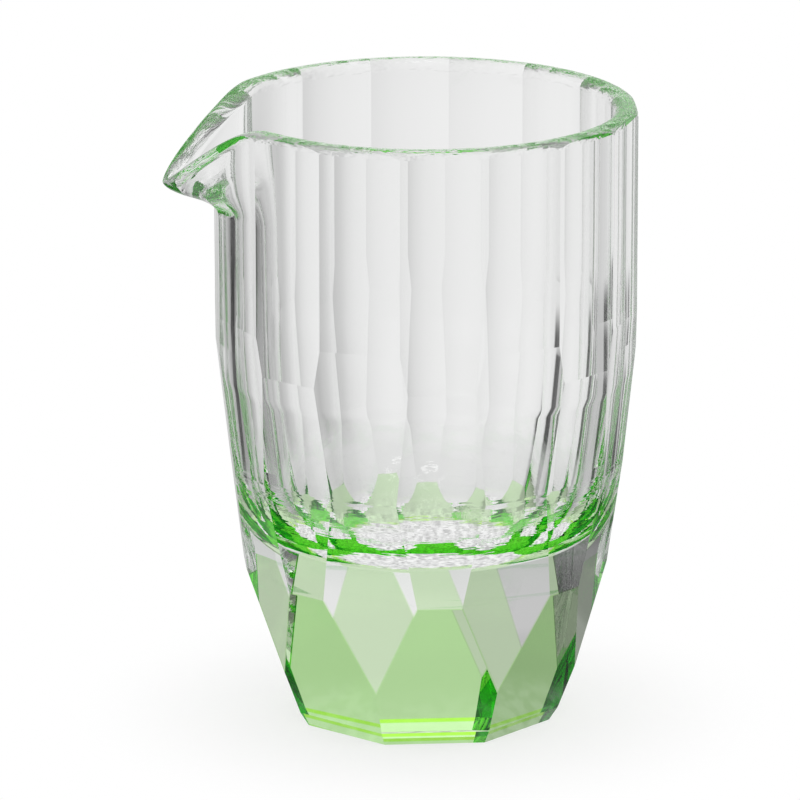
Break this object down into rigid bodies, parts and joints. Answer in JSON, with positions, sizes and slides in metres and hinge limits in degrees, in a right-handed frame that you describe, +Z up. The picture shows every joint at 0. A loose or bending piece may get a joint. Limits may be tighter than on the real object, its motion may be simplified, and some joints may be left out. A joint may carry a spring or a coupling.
{
  "type": "liquor decanter",
  "caption": "Open cut-glass pouring decanter: clear faceted cup with a pulled-down beak lip, bonded on a solid faceted foot with a thin green glass skin.",
  "frame": {"origin": "centre of the flat face it stands on", "axes": "+Z up along the cup's axis, -X towards the tip of the pouring lip, shield facets facing -Y and every eighth of a turn from it"},
  "size_m": [0.079, 0.07, 0.1058],
  "materials": {
    "clear_crystal": "polished cut crystal",
    "cured_adhesive": "clear, cured between two ground faces",
    "green_glass": "polished transparent green glass"
  },
  "bodies": {
    "root": {"cup_body": "clear_crystal", "bond_film": "cured_adhesive", "foot_core": "clear_crystal", "green_skin": "green_glass"}
  },
  "joints": []
}
